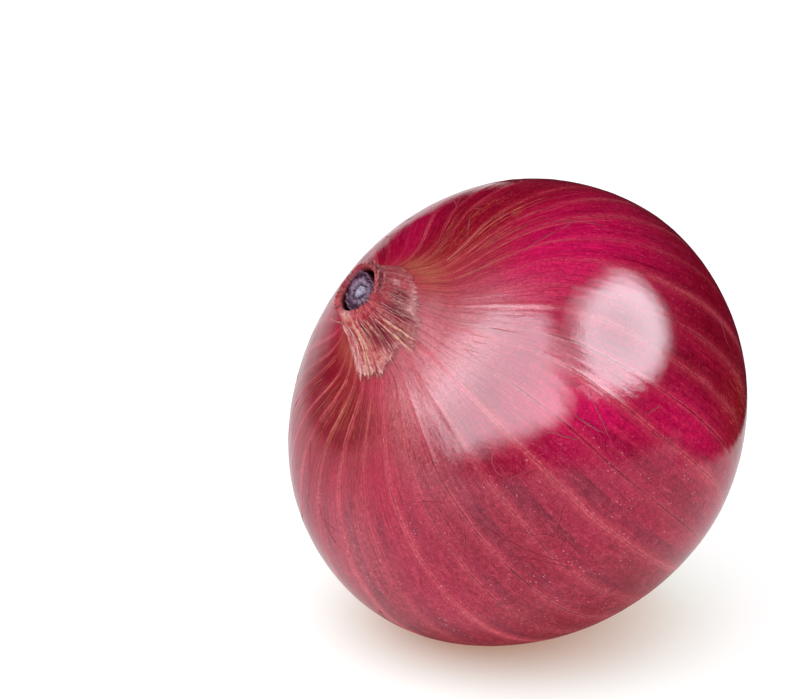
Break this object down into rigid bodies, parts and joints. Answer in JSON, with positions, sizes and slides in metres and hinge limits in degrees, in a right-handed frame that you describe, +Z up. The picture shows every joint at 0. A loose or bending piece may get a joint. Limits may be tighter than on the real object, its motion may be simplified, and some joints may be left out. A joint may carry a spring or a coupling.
{
  "type": "red onion",
  "caption": "Whole red onion bulb with veined skin, papery torn neck, cut inner leaf tips and a root plate with short dried roots, resting tilted on a small flat spot.",
  "frame": {"origin": "middle of the small flat spot on the bulb's side that the onion rests on", "axes": "+Z up, the onion's axis in the YZ plane with its neck pointing to -Y and 42.5 degrees up, X across the axis"},
  "size_m": [0.0796, 0.0751, 0.0747],
  "materials": {
    "onion_skin": "satin",
    "dry_sheath": "matte",
    "cut_leaf_tips": "matte",
    "root_cork": "matte"
  },
  "bodies": {
    "root": {"bulb": "onion_skin", "neck_sheath": "dry_sheath", "neck_core": "cut_leaf_tips", "root_plate": "root_cork"}
  },
  "joints": []
}
